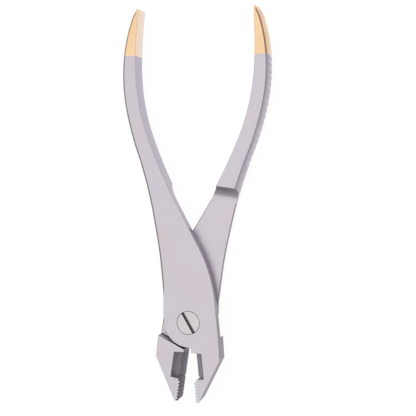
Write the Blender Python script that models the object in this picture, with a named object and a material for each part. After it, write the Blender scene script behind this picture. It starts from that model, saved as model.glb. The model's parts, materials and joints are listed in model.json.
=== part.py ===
"""Side-cutting flat-nose wire pliers for orthopaedic surgery, with a lap joint.

Two forged halves cross at a slotted pivot screw. Each half is one handle and the
opposite jaw. Carbide cutter and grip inserts are brazed into the jaws.
The tool lies on its back: +Z is the pivot axis, +Y runs up the handles, and the
origin is on the pivot axis in the plane of the flat back.
Every outline is drawn with the jaws shut, then each half is turned open.
"""

import math

import bmesh
import bpy
from mathutils import Matrix, Vector

# Stock and pose
THICKNESS = 0.0095
HALF_OPEN_DEG = 6.8
CENTRE_CLEAR = 0.00012
LAP_GAP = 0.0001

# Lap joint
JOINT_RADIUS = 0.0114
SHOULDER_CLEAR = 0.0006
SHOULDER_DEG = 18.2
SHOULDER_FILLET = SHOULDER_CLEAR + 0.0003
LAP_LENGTH = 0.0571
LAP_HOLLOW_RADIUS = 0.007

# Jaw
JAW_HALF_WIDTH = 0.01335
JAW_SIDE_LEAN = 0.0003
JAW_SIDE_LENGTH = 0.0182
JAW_CORNER_RADIUS = 0.0022
NOTCH_DEPTH = 0.0048
NOTCH_LENGTH = 0.0116
NOTCH_TOP_DEG = 9.3
NOTCH_FOOT_DEG = 3.6
HEEL_HEIGHT = 0.0012
CUTTER_LAND = 0.0013
GRIP_LENGTH = 0.0105
TIP_WIDTH = 0.00133
INSERT_THICKNESS = 0.0019
BRAZE_GAP = 0.0001
TOOTH_PITCH = 0.0014
TOOTH_DEPTH = 0.0005
TOOTH_LAND_SHARE = 0.24

# Inner edge of the handle, from the joint to the end
NECK_START = 0.0085
NECK_RADIUS = 0.067
NECK_TURN_DEG = 23.1
NECK_STRAIGHT = 0.0207
BOW_LOW_RADIUS = 0.225
BOW_LOW_TURN_DEG = 8.7
BOW_MID_RADIUS = 0.0965
BOW_MID_TURN_DEG = 20.5
BOW_END_RADIUS = 0.258
BOW_END_TURN_DEG = 5.6

# Outer edge of the handle, from the crest at its end down to the joint
CREST_WIDTH = 0.00132
CREST_DEG = 145.7
END_RADIUS = 0.0152
END_TURN_DEG = 22.5
PALM_HIGH_RADIUS = 0.0813
PALM_HIGH_TURN_DEG = 29.6
PALM_LOW_RADIUS = 0.142
PALM_LOW_TURN_DEG = 8.5
FLARE_RADIUS = 0.191
FLARE_TURN_DEG = 9.1
BACK_STRAIGHT = 0.0083
BACK_RADIUS = 0.2
BACK_TURN_DEG = 4.7

# Crowned and fluted back of the handle
CROWN_WIDTH = 0.0015
CROWN_HEIGHT = 0.003
CROWN_POWER = 1.6
CROWN_RUN_OUT = 0.012
CREST_CROWN_SHARE = 0.3
FLUTE_PITCH = 0.0029
FLUTE_RADIUS = 0.0024
FLUTE_DEPTH = 0.00035
FLUTED_LENGTH = 0.0522
PLATED_LENGTH = 0.0219
PLATE_TILT_DEG = 10.0
END_ROUND = 0.0022

# Pivot screw
HEAD_DIAMETER = 0.0105
HEAD_THICKNESS = 0.0023
SHANK_DIAMETER = 0.0075
TAIL_DIAMETER = 0.0062
SLOT_WIDTH = 0.00105
SLOT_DEPTH = 0.0011
SLOT_TURN_DEG = 119.2
RUN_CLEAR = 0.0001
SEAT_GAP = 0.0001

# Facets
ARC_STEP_DEG = 5.0
EDGE_STEP = 0.0035
FLUTE_STEPS = 6
ROUND_STEPS = 64
FILLET_STEPS = 8
REACH = 0.03

# How far the cutters run past the piece
OVERCUT = 0.002


def clear_scene():
    for obj in list(bpy.data.objects):
        bpy.data.objects.remove(obj, do_unlink=True)


def metal(name, colour, roughness, metallic=1.0):
    mat = bpy.data.materials.new(name)
    mat.use_nodes = True
    shader = mat.node_tree.nodes["Principled BSDF"]
    shader.inputs["Base Color"].default_value = (*colour, 1.0)
    shader.inputs["Roughness"].default_value = roughness
    shader.inputs["Metallic"].default_value = metallic
    mat.diffuse_color = (*colour, 1.0)
    return mat


def object_from(bm, name, materials=(), smooth_deg=30.0):
    mesh = bpy.data.meshes.new(name)
    bm.to_mesh(mesh)
    bm.free()
    for mat in materials:
        mesh.materials.append(mat)
    mesh.shade_smooth()
    mesh.set_sharp_from_angle(angle=math.radians(smooth_deg))
    obj = bpy.data.objects.new(name, mesh)
    bpy.context.scene.collection.objects.link(obj)
    return obj


def cut(target, cutter):
    """Boolean cut that stays live; the cutter follows the piece it cuts."""
    cutter.hide_render = True
    cutter.display_type = "WIRE"
    cutter.parent = target
    mod = target.modifiers.new(cutter.name, "BOOLEAN")
    mod.operation = "DIFFERENCE"
    mod.solver = "EXACT"
    mod.object = cutter


def bridge(bm, rings, close_ends=True):
    """Skin a stack of rings that have the same number of vertices."""
    loops = [[bm.verts.new(p) for p in ring] for ring in rings]
    count = len(loops[0])
    for low, high in zip(loops, loops[1:]):
        for i in range(count):
            j = (i + 1) % count
            bm.faces.new((low[i], low[j], high[j], high[i]))
    if close_ends:
        bm.faces.new(list(reversed(loops[0])))
        bm.faces.new(loops[-1])
    return loops


def prism(name, profile, axis, low, high, materials=()):
    """Extrude a profile; its points are the two coordinates across the axis."""
    def place(u, v, w):
        return {"X": (w, u, v), "Y": (u, w, v), "Z": (u, v, w)}[axis]

    bm = bmesh.new()
    bridge(bm, [[place(u, v, w) for u, v in profile] for w in (low, high)])
    bmesh.ops.recalc_face_normals(bm, faces=bm.faces)
    return object_from(bm, name, materials)


def turned(name, profile, materials=()):
    """Revolve a (radius, height) profile that starts and ends on the Z axis."""
    bm = bmesh.new()
    verts = [bm.verts.new((r, 0.0, z)) for r, z in profile]
    edges = [bm.edges.new(pair) for pair in zip(verts, verts[1:])]
    bmesh.ops.spin(bm, geom=verts + edges, cent=(0, 0, 0), axis=(0, 0, 1),
                   angle=math.tau, steps=ROUND_STEPS, use_merge=True)
    bmesh.ops.remove_doubles(bm, verts=bm.verts, dist=1e-7)
    bmesh.ops.recalc_face_normals(bm, faces=bm.faces)
    return object_from(bm, name, materials)


def arc(centre, radius, start_deg, end_deg):
    steps = max(2, math.ceil(abs(end_deg - start_deg) / ARC_STEP_DEG))
    points = []
    for i in range(steps + 1):
        a = math.radians(start_deg + (end_deg - start_deg) * i / steps)
        points.append((centre[0] + radius * math.cos(a), centre[1] + radius * math.sin(a)))
    return points


def run(start, heading_deg, legs):
    """Walk straight legs (length, 0) and tangent arcs (radius, turn in degrees)."""
    x, y = start
    heading = math.radians(heading_deg)
    points = [(x, y)]
    for size, turn_deg in legs:
        turn = math.radians(turn_deg)
        length = abs(size * turn) if turn_deg else size
        steps = max(2, math.ceil(length / EDGE_STEP))
        chord = length / steps
        if turn_deg:
            chord = 2 * size * math.sin(abs(turn) / steps / 2)
        for _ in range(steps):
            heading += turn / steps / 2
            x += chord * math.cos(heading)
            y += chord * math.sin(heading)
            heading += turn / steps / 2
            points.append((x, y))
    return points


# Shared geometry of the jaw, drawn with the jaws shut
def shoulder_y(x):
    slope = math.radians(SHOULDER_DEG)
    distance = JOINT_RADIUS + SHOULDER_CLEAR
    return (x * math.sin(slope) - distance) / math.cos(slope)


HEEL_TOP = shoulder_y(CENTRE_CLEAR)
NOTCH_TOP = HEEL_TOP - HEEL_HEIGHT
NOTCH_TOP_SLOPE = math.tan(math.radians(NOTCH_TOP_DEG))
NOTCH_FOOT_SLOPE = math.tan(math.radians(NOTCH_FOOT_DEG))
WALL_TOP = NOTCH_TOP - NOTCH_DEPTH * NOTCH_TOP_SLOPE
WALL_FOOT = WALL_TOP - NOTCH_LENGTH
NOTCH_FOOT = WALL_FOOT - NOTCH_DEPTH * NOTCH_FOOT_SLOPE
TIP_Y = NOTCH_FOOT - GRIP_LENGTH
TIP_X = CENTRE_CLEAR + TIP_WIDTH
INSERT_BACK = CENTRE_CLEAR + INSERT_THICKNESS
SEAT_X = INSERT_BACK + BRAZE_GAP
CORNER = (JAW_HALF_WIDTH - JAW_SIDE_LEAN, -JAW_SIDE_LENGTH)


def notch_top_y(x):
    return NOTCH_TOP - x * NOTCH_TOP_SLOPE


def notch_foot_y(x):
    return NOTCH_FOOT + x * NOTCH_FOOT_SLOPE


def outer_jaw_y(x):
    """The long slanted outer side between the tip and the corner."""
    t = (x - TIP_X) / (CORNER[0] - TIP_X)
    return TIP_Y + (CORNER[1] - TIP_Y) * t


def bevel_x(z):
    """The cutter's bevel, from the land at the back to the front face."""
    return CENTRE_CLEAR + (NOTCH_DEPTH - CENTRE_CLEAR) * (z - CUTTER_LAND) / (THICKNESS - CUTTER_LAND)


def rounded_corner(before, corner, after, radius):
    """Arc that rounds the corner between two straight sides."""
    c = Vector(corner)
    u = (Vector(before) - c).normalized()
    v = (Vector(after) - c).normalized()
    half = u.angle(v) / 2
    reach = radius / math.tan(half)
    centre = c + (u + v).normalized() * radius / math.sin(half)
    a = c + u * reach - centre
    b = c + v * reach - centre
    start = math.degrees(math.atan2(a.y, a.x))
    sweep = math.degrees(math.atan2(b.y, b.x)) - start
    sweep = (sweep + 180) % 360 - 180
    return arc(centre, radius, start, start + sweep)


def handle_inner():
    return run((JAW_HALF_WIDTH, NECK_START), 90, [
        (NECK_RADIUS, NECK_TURN_DEG),
        (NECK_STRAIGHT, 0),
        (BOW_LOW_RADIUS, -BOW_LOW_TURN_DEG),
        (BOW_MID_RADIUS, -BOW_MID_TURN_DEG),
        (BOW_END_RADIUS, -BOW_END_TURN_DEG),
    ])


def handle_outer():
    """Outer edge from the joint up, walked down from the crest of the handle's end."""
    end = handle_inner()[-1]
    way = math.radians(CREST_DEG)
    crest = (end[0] + CREST_WIDTH * math.cos(way), end[1] + CREST_WIDTH * math.sin(way))
    legs = [
        (END_RADIUS, END_TURN_DEG),
        (PALM_HIGH_RADIUS, PALM_HIGH_TURN_DEG),
        (PALM_LOW_RADIUS, PALM_LOW_TURN_DEG),
        (FLARE_RADIUS, -FLARE_TURN_DEG),
        (BACK_STRAIGHT, 0),
        (BACK_RADIUS, -BACK_TURN_DEG),
    ]
    heading = 270 - sum(turn_deg for _, turn_deg in legs)
    return list(reversed(run(crest, heading, legs)))


def outer_edge():
    """Outer handle edge from joint to end, with crown share and flute depth at each point."""
    upper = handle_outer()
    low = Vector((-JOINT_RADIUS, 0.0))
    steps = max(1, math.ceil(upper[0][1] / EDGE_STEP))
    edge = [tuple(low.lerp(Vector(upper[0]), i / steps)) for i in range(steps)] + upper
    lengths = [math.dist(a, b) for a, b in zip(edge, edge[1:])]
    total = sum(lengths)
    plain_top = total - PLATED_LENGTH
    flute_low = plain_top - FLUTED_LENGTH

    stations = []
    passed = 0.0
    for point, length in zip(edge, lengths + [0.0]):
        if not flute_low < passed < plain_top:
            stations.append(passed)
        passed += length
    flutes = max(1, round(FLUTED_LENGTH / FLUTE_PITCH))
    steps = flutes * FLUTE_STEPS
    stations += [flute_low + FLUTED_LENGTH * i / steps for i in range(steps + 1)]
    stations = sorted(stations)

    rows = []
    index = 0
    passed = 0.0
    for station in stations:
        while index < len(lengths) - 1 and passed + lengths[index] < station:
            passed += lengths[index]
            index += 1
        a, b = Vector(edge[index]), Vector(edge[index + 1])
        t = (station - passed) / lengths[index]
        point = a.lerp(b, t)
        along = (b - a).normalized()
        inward = Vector((along.y, -along.x))
        crown = min(1.0, max(0.0, (station - JOINT_RADIUS / 2) / CROWN_RUN_OUT))
        near_end = max(0.0, 1.0 - (total - station) / END_ROUND)
        crown = min(crown, 1.0 - (1.0 - CREST_CROWN_SHARE) * near_end)
        depth = 0.0
        if flute_low <= station <= plain_top:
            across = ((station - flute_low) / FLUTED_LENGTH * flutes) % 1.0 - 0.5
            across *= FLUTED_LENGTH / flutes
            if abs(across) < FLUTE_RADIUS:
                depth = math.sqrt(FLUTE_RADIUS ** 2 - across ** 2) - FLUTE_RADIUS + FLUTE_DEPTH
                depth = max(0.0, depth)
        rows.append((point, inward, crown, depth))
    return rows


def blank_outline():
    """Plan outline of one half, anticlockwise, as rows of (point, inward, crown, flute)."""
    still = Vector((0.0, 0.0))
    heel = (CENTRE_CLEAR, HEEL_TOP)
    points = arc((0.0, 0.0), JOINT_RADIUS, 180, 268)
    points += [heel, (CENTRE_CLEAR, TIP_Y), (TIP_X, TIP_Y)]
    points += rounded_corner((TIP_X, TIP_Y), CORNER, (JAW_HALF_WIDTH, 0.0), JAW_CORNER_RADIUS)
    points += [(JAW_HALF_WIDTH, -JAW_SIDE_LENGTH / 2)]
    points += handle_inner()
    rows = [(Vector(p), still, 0.0, 0.0) for p in points]
    rows += list(reversed(outer_edge()[1:]))
    return rows


def crown_layers():
    """Heights and insets of the crowned back, the same from both faces."""
    steps = (0.0, 1 / 3, 2 / 3, 1.0)
    low = [(CROWN_HEIGHT * t, CROWN_WIDTH * (1 - t) ** CROWN_POWER) for t in steps]
    high = [(THICKNESS - z, inset) for z, inset in reversed(low)]
    return low + high


def forged_blank(bm):
    rows = blank_outline()
    rings = []
    for z, inset in crown_layers():
        ring = []
        for point, inward, crown, flute in rows:
            p = point + inward * max(inset * crown, flute)
            ring.append((p.x, p.y, z))
        rings.append(ring)
    bridge(bm, rings)
    bmesh.ops.dissolve_limit(bm, angle_limit=math.radians(0.05), verts=bm.verts, edges=bm.edges)
    bmesh.ops.triangulate(bm, faces=bm.faces)
    tilt = math.radians(PLATE_TILT_DEG)
    up = Vector((math.sin(tilt), math.cos(tilt), 0.0))
    plate_line = Vector((*handle_inner()[-1], 0.0)) - up * PLATED_LENGTH
    geom = bm.verts[:] + bm.edges[:] + bm.faces[:]
    bmesh.ops.bisect_plane(bm, geom=geom, dist=1e-7, plane_co=plate_line, plane_no=up)
    bmesh.ops.triangulate(bm, faces=bm.faces)
    for face in bm.faces:
        face.material_index = 1 if (face.calc_center_median() - plate_line).dot(up) > 0 else 0
    bmesh.ops.recalc_face_normals(bm, faces=bm.faces)


def lap_cutter(name, turned_over):
    """Takes half the thickness off between the shoulder and the hollow above the flat lap."""
    face = THICKNESS / 2 + LAP_GAP / 2
    foot_round = min(SHOULDER_FILLET, face / 2)
    hollow_turn = math.acos(max(0.0, 1 - (face + OVERCUT / 2) / LAP_HOLLOW_RADIUS))
    rings = []
    for x in (-REACH, REACH):
        wall = shoulder_y(x)
        ring = [(x, wall, -OVERCUT), (x, wall, face - foot_round)]
        for i in range(1, FILLET_STEPS + 1):
            a = math.radians(90 * i / FILLET_STEPS)
            ring.append((x, wall + foot_round * (1 - math.cos(a)), face - foot_round * (1 - math.sin(a))))
        for i in range(FILLET_STEPS + 1):
            a = hollow_turn * i / FILLET_STEPS
            y = LAP_LENGTH + LAP_HOLLOW_RADIUS * math.sin(a)
            z = face - LAP_HOLLOW_RADIUS * (1 - math.cos(a))
            ring.append((x, y, z))
        ring.append((x, y, -OVERCUT))
        rings.append(ring)
    bm = bmesh.new()
    bridge(bm, rings)
    bmesh.ops.triangulate(bm, faces=bm.faces)
    bmesh.ops.recalc_face_normals(bm, faces=bm.faces)
    if turned_over:
        turn_over(bm)
    return object_from(bm, name)


def turn_over(bm):
    """Half a turn about the long axis, through the middle of the thickness."""
    spin = Matrix.Translation((0, 0, THICKNESS)) @ Matrix.Rotation(math.pi, 4, "Y")
    bmesh.ops.transform(bm, matrix=spin, verts=bm.verts)


def mirror_x(bm):
    bmesh.ops.transform(bm, matrix=Matrix.Scale(-1, 4, (1, 0, 0)), verts=bm.verts)
    bmesh.ops.reverse_faces(bm, faces=bm.faces)


def notch_cutter(name, side):
    """Opens the side-cutter notch from the front face down to the land."""
    top = THICKNESS + OVERCUT
    open_x = -2 * OVERCUT
    section = [(open_x, CUTTER_LAND), (CENTRE_CLEAR, CUTTER_LAND), (bevel_x(top), top), (open_x, top)]
    rings = [[(x, notch_foot_y(x), z) for x, z in section], [(x, notch_top_y(x), z) for x, z in section]]
    bm = bmesh.new()
    bridge(bm, rings)
    bmesh.ops.triangulate(bm, faces=bm.faces)
    bmesh.ops.recalc_face_normals(bm, faces=bm.faces)
    if side < 0:
        mirror_x(bm)
    return object_from(bm, name)


def seat_cutter(name, side):
    """Straight seat behind both brazed inserts, from the heel to the tip."""
    open_x = -2 * OVERCUT
    far = TIP_Y - 2 * OVERCUT
    profile = [(open_x, notch_top_y(open_x)), (open_x, far), (SEAT_X, far), (SEAT_X, notch_top_y(SEAT_X))]
    if side < 0:
        profile = [(-x, y) for x, y in profile]
    return prism(name, profile, "Z", -OVERCUT, THICKNESS + OVERCUT)


def end_cutter(name):
    """Rounds the end of the handle in side view, at the front and the back."""
    end = max(p.y for p, _, _, _ in blank_outline())
    out_y = end + OVERCUT
    out_z = THICKNESS + OVERCUT
    corner = [(end - END_ROUND, out_z), (out_y, out_z), (out_y, THICKNESS - END_ROUND)]
    corner += arc((end - END_ROUND, THICKNESS - END_ROUND), END_ROUND, 0, 90)
    bm = bmesh.new()
    for flip in (False, True):
        profile = [(y, THICKNESS - z if flip else z) for y, z in corner]
        bridge(bm, [[(x, y, z) for y, z in profile] for x in (-REACH, REACH)])
    bmesh.ops.triangulate(bm, faces=bm.faces)
    bmesh.ops.recalc_face_normals(bm, faces=bm.faces)
    return object_from(bm, name)


def forged_half(name, side, materials):
    """One handle with the opposite jaw; side +1 is the half that lies over."""
    bm = bmesh.new()
    forged_blank(bm)
    if side < 0:
        turn_over(bm)
    half = object_from(bm, name, materials, smooth_deg=22.0)
    cut(half, pivot_bore(name + "_bore", side > 0))
    cut(half, lap_cutter(name + "_lap", side < 0))
    cut(half, end_cutter(name + "_end"))
    cut(half, seat_cutter(name + "_seat", side))
    cut(half, notch_cutter(name + "_notch", side))
    return half


def cutter_insert(name, side, material):
    """Carbide cutting strip: flat land at the back, bevel open to the front."""
    back = INSERT_BACK
    gap = BRAZE_GAP
    bevel_z = CUTTER_LAND + (back - CENTRE_CLEAR) / (NOTCH_DEPTH - CENTRE_CLEAR) * (THICKNESS - CUTTER_LAND)
    section = [(CENTRE_CLEAR, 0.0), (back, 0.0), (back, bevel_z), (CENTRE_CLEAR, CUTTER_LAND)]
    rings = [[(x, notch_foot_y(x) + gap, z) for x, z in section],
             [(x, notch_top_y(x) - gap, z) for x, z in section]]
    bm = bmesh.new()
    bridge(bm, rings)
    bmesh.ops.triangulate(bm, faces=bm.faces)
    bmesh.ops.recalc_face_normals(bm, faces=bm.faces)
    if side < 0:
        mirror_x(bm)
    return object_from(bm, name, [material])


def grip_insert(name, side, material):
    """Carbide grip plate with straight teeth across the jaw."""
    foot = notch_foot_y(CENTRE_CLEAR)
    count = max(2, math.floor((foot - TIP_Y) / TOOTH_PITCH))
    pitch = (foot - TIP_Y) / count
    half_land = pitch * TOOTH_LAND_SHARE / 2
    profile = []
    for i in range(count):
        low = TIP_Y + pitch * i
        profile.append((CENTRE_CLEAR, low + half_land))
        profile.append((CENTRE_CLEAR + TOOTH_DEPTH, low + pitch / 2))
        profile.append((CENTRE_CLEAR, low + pitch - half_land))
    chamfer_x = CENTRE_CLEAR + TOOTH_DEPTH / 2
    tip_in = (chamfer_x, TIP_Y)
    head = [(chamfer_x, notch_foot_y(TOOTH_DEPTH)), (INSERT_BACK, notch_foot_y(INSERT_BACK))]
    tail = [(INSERT_BACK, outer_jaw_y(INSERT_BACK)), (TIP_X, TIP_Y)]
    if TIP_X >= INSERT_BACK:
        tail = [(INSERT_BACK, TIP_Y)]
    profile = [tip_in] + profile + head + tail
    if side < 0:
        profile = [(-x, y) for x, y in profile]
    return prism(name, profile, "Z", 0.0, THICKNESS, [material])


def pivot_bore(name, lies_over):
    """Stepped bore: counterbore and running hole in one half, tail hole in the other."""
    low = -OVERCUT
    top = THICKNESS + OVERCUT
    tail = TAIL_DIAMETER / 2 + RUN_CLEAR
    if lies_over:
        hole = SHANK_DIAMETER / 2 + RUN_CLEAR
        head = HEAD_DIAMETER / 2 + RUN_CLEAR
        floor = THICKNESS - HEAD_THICKNESS - SEAT_GAP
        profile = [(0, top), (head, top), (head, floor), (hole, floor), (hole, low), (0, low)]
    else:
        profile = [(0, top), (tail, top), (tail, low), (0, low)]
    return turned(name, profile)


def pivot_screw(name, material):
    """Flush slotted shoulder screw; its shoulder stops on the lap of the rear half."""
    head = HEAD_DIAMETER / 2
    shank = SHANK_DIAMETER / 2
    tail = TAIL_DIAMETER / 2
    shoulder = THICKNESS / 2 - LAP_GAP / 2 + SEAT_GAP
    under = THICKNESS - HEAD_THICKNESS
    profile = [(0, THICKNESS), (head, THICKNESS), (head, under), (shank, under),
               (shank, shoulder), (tail, shoulder), (tail, 0), (0, 0)]
    screw = turned(name, profile, [material])
    screw.rotation_euler.z = math.radians(SLOT_TURN_DEG)
    half_slot = SLOT_WIDTH / 2
    slot = prism(name + "_slot", [(-HEAD_DIAMETER, -half_slot), (HEAD_DIAMETER, -half_slot),
                                  (HEAD_DIAMETER, half_slot), (-HEAD_DIAMETER, half_slot)],
                 "Z", THICKNESS - SLOT_DEPTH, THICKNESS + OVERCUT)
    cut(screw, slot)
    return screw


def main():
    clear_scene()
    steel = metal("satin_stainless", (0.62, 0.60, 0.62), 0.34)
    gold = metal("gold_plate", (0.86, 0.62, 0.30), 0.28)
    carbide = metal("carbide", (0.30, 0.30, 0.31), 0.42)
    screw_steel = metal("screw_steel", (0.70, 0.68, 0.69), 0.28)

    for word, side in (("front", 1), ("rear", -1)):
        turn = math.radians(HALF_OPEN_DEG) * side
        half = forged_half(word + "_half", side, [steel, gold])
        inserts = [cutter_insert(word + "_cutter_insert", side, carbide),
                   grip_insert(word + "_grip_insert", side, carbide)]
        half.rotation_euler.z = turn
        for insert in inserts:
            insert.parent = half
    pivot_screw("pivot_screw", screw_steel)


main()
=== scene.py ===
"""Side-cutting flat-nose wire pliers: fine surfaces, finishes and the studio around them.

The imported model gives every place: the pivot axis is Z through the origin, the back lies
on Z = 0, and the handles run up +Y. Each half is drawn with the jaws shut and then
turned open about the pivot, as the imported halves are.
"""

import json
import math

import bmesh
import bpy
from bpy.props import EnumProperty, FloatProperty, FloatVectorProperty, PointerProperty
from mathutils import Matrix, Vector


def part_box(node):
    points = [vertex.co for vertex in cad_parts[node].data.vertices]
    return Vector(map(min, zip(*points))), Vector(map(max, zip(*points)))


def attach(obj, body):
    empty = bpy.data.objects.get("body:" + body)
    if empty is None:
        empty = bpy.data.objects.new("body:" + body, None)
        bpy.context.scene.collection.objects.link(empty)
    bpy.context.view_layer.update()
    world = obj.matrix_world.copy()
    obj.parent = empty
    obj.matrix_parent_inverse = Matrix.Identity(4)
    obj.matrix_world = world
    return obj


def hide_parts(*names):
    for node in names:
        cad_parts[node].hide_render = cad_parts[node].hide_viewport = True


bl_info = {
    "name": "Wire Pliers",
    "version": (1, 0, 0),
    "blender": (4, 5, 0),
    "location": "3D View > Sidebar > Pliers",
    "description": "Builds lap-joint wire pliers with carbide inserts and gold-plated ends",
    "category": "Add Mesh",
}

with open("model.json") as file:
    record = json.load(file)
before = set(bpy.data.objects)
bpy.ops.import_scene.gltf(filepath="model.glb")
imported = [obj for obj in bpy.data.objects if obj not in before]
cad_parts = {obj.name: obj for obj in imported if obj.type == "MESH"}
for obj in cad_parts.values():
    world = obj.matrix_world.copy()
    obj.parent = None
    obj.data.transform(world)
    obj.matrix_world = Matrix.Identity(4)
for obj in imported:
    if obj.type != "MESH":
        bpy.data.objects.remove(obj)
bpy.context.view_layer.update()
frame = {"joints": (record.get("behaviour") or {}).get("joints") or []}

MM = 0.001
HINGE = frame["joints"][0]
OPEN_HALF = -math.radians(HINGE["range_deg"][0]) / 2
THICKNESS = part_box("rear_half")[1].z
SIDES = {"front": 1, "rear": -1}

# Fineness of the surfaces
ARC_STEP = math.radians(2.0)
EDGE_STEP = 1.0 * MM
ROUND_STEPS = 128
FLUTE_STEPS = 14
CROWN_STEPS = 8
FILLET_STEPS = 20
OVERCUT = 2.0 * MM
WELD = 0.005 * MM
REACH = 30.0 * MM
TINY = 1e-7

# Corners sharper than these, in degrees, get a broken edge
LAP_CORNER = 60.0
FORGED_CORNER = 34.0
SCREW_CORNER = 36.0
CARBIDE_CORNER = 20.0

# Material numbers that mark the broken edges of a half until it is painted
EDGE_MARK = 1
LAP_MARK = 2

# How far a face's normal has to point one way for the face to count as looking that way
LEANS = 0.3
FLAT = 0.93
CARBIDE_FLAT = 0.9
SQUARE = 0.02


def number(name, default, description, least=0.0, **more):
    return FloatProperty(name=name, description=description, default=default, min=least, **more)


def length(name, millimetres, description):
    return number(name, millimetres * MM, description, precision=5, unit="LENGTH")


def angle(name, degrees, description):
    return FloatProperty(name=name, description=description, default=math.radians(degrees),
                         unit="ROTATION")


def share(name, default, description):
    return number(name, default, description, max=1.0, subtype="FACTOR")


def colour(name, default, description):
    return FloatVectorProperty(name=name, description=description, default=default,
                               size=3, min=0.0, max=1.0, subtype="COLOR")


class JawSizes(bpy.types.PropertyGroup):
    """Sizes of one jaw with its notch and inserts"""

    half_width: length("Half width", 13.35, "From the centre line to the jaw's outer side")
    side_lean: length("Side lean", 0.3, "How far the outer side leans in at its corner")
    side_length: length("Side length", 18.2, "From the pivot down to the outer corner")
    corner_radius: length("Corner radius", 2.2, "Rounding of the outer corner")
    centre_clear: length("Centre clearance", 0.12, "From the centre line to the shut jaw's face")
    notch_depth: length("Notch depth", 4.8, "How far the notch reaches into the front face")
    notch_length: length("Notch length", 11.6, "Length of the notch's outer wall")
    notch_top: angle("Notch top slope", 9.3, "Slope of the notch's upper end")
    notch_foot: angle("Notch foot slope", 3.6, "Slope of the notch's lower end")
    heel_height: length("Heel height", 1.2, "Steel left between the shoulder and the notch")
    cutter_land: length("Cutter land", 1.3, "Flat behind the cutting edge")
    grip_length: length("Grip length", 10.5, "Length of the toothed tip")
    tip_width: length("Tip width", 1.33, "Width of the blunt tip of one jaw")
    insert_thickness: length("Insert thickness", 1.9, "Thickness of the carbide inserts")
    braze_gap: length("Braze gap", 0.1, "Seam between an insert and its seat")
    tooth_pitch: length("Tooth pitch", 1.4, "Distance from tooth to tooth")
    tooth_depth: length("Tooth depth", 0.75, "Depth of the grooves between teeth, in front")
    tooth_depth_back: length("Back tooth depth", 0.2, "Depth of the grooves at the back")
    plate_chamfer: length("Plate chamfer", 1.1, "Chamfer of the toothed plate beside the notch")
    tooth_land: share("Tooth land", 0.24, "Share of the pitch that is left flat on each tooth")


class HandleSizes(bpy.types.PropertyGroup):
    """Sizes of one handle, as tangent arcs along its inner and outer edges"""

    neck_start: length("Neck start", 8.5, "Where the inner edge begins to turn away")
    neck_radius: length("Neck radius", 67.0, "Inner arc above the joint")
    neck_turn: angle("Neck turn", 23.1, "Turn of the inner arc above the joint")
    neck_straight: length("Neck straight", 20.7, "Straight stretch above the neck")
    bow_low_radius: length("Bow low radius", 225.0, "First arc of the inner bow")
    bow_low_turn: angle("Bow low turn", 8.7, "Turn of the first arc of the inner bow")
    bow_mid_radius: length("Bow middle radius", 96.5, "Second arc of the inner bow")
    bow_mid_turn: angle("Bow middle turn", 20.5, "Turn of the second arc of the inner bow")
    bow_end_radius: length("Bow end radius", 258.0, "Last arc of the inner bow")
    bow_end_turn: angle("Bow end turn", 5.6, "Turn of the last arc of the inner bow")
    crest_width: length("Crest width", 1.32, "Width of the narrow end of the handle")
    crest_way: angle("Crest direction", 145.7, "Direction of the narrow end")
    end_radius: length("End radius", 15.2, "Outer arc at the end")
    end_turn: angle("End turn", 22.5, "Turn of the outer arc at the end")
    palm_high_radius: length("Palm high radius", 81.3, "Outer arc under the end")
    palm_high_turn: angle("Palm high turn", 29.6, "Turn of the outer arc under the end")
    palm_low_radius: length("Palm low radius", 142.0, "Outer arc in the palm")
    palm_low_turn: angle("Palm low turn", 8.5, "Turn of the outer arc in the palm")
    flare_radius: length("Flare radius", 191.0, "Outer arc that flares out from the joint")
    flare_turn: angle("Flare turn", 9.1, "Turn of the outer flare")
    back_straight: length("Back straight", 8.3, "Straight stretch of the outer edge")
    back_radius: length("Back radius", 200.0, "Outer arc above the joint")
    back_turn: angle("Back turn", 4.7, "Turn of the outer arc above the joint")
    crown_width: length("Crown width", 1.5, "How far the crowned side draws in at the faces")
    crown_height: length("Crown height", 3.0, "Depth of the crowned side from each face")
    crown_run_out: length("Crown run-out", 12.0, "Length over which the crown fades at the joint")
    crown_power: number("Crown power", 1.6, "Fullness of the crowned side", 1.0)
    crest_crown: share("Crest crown", 0.3, "Share of the crown that is left at the very end")
    flute_pitch: length("Flute pitch", 2.9, "Distance from flute to flute")
    flute_radius: length("Flute radius", 2.4, "Radius of one flute")
    flute_depth: length("Flute depth", 0.45, "Depth of one flute")
    fluted_length: length("Fluted length", 52.2, "Length of the fluted stretch")
    plated_length: length("Plated length", 21.9, "Length of the gold-plated end")
    plate_tilt: angle("Plate tilt", 10.0, "Slope of the line where the gold plate begins")
    end_round: length("End round", 1.4, "Rounding of the end in side view, at the back")
    end_round_front: length("Front end round", 0.6, "Rounding of the end at the front")
    horn_start: length("Horn start", 125.0, "Height above which the end is drawn in")
    horn_draw: length("Horn draw", 0.8, "How much shorter the dressed end is")


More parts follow.
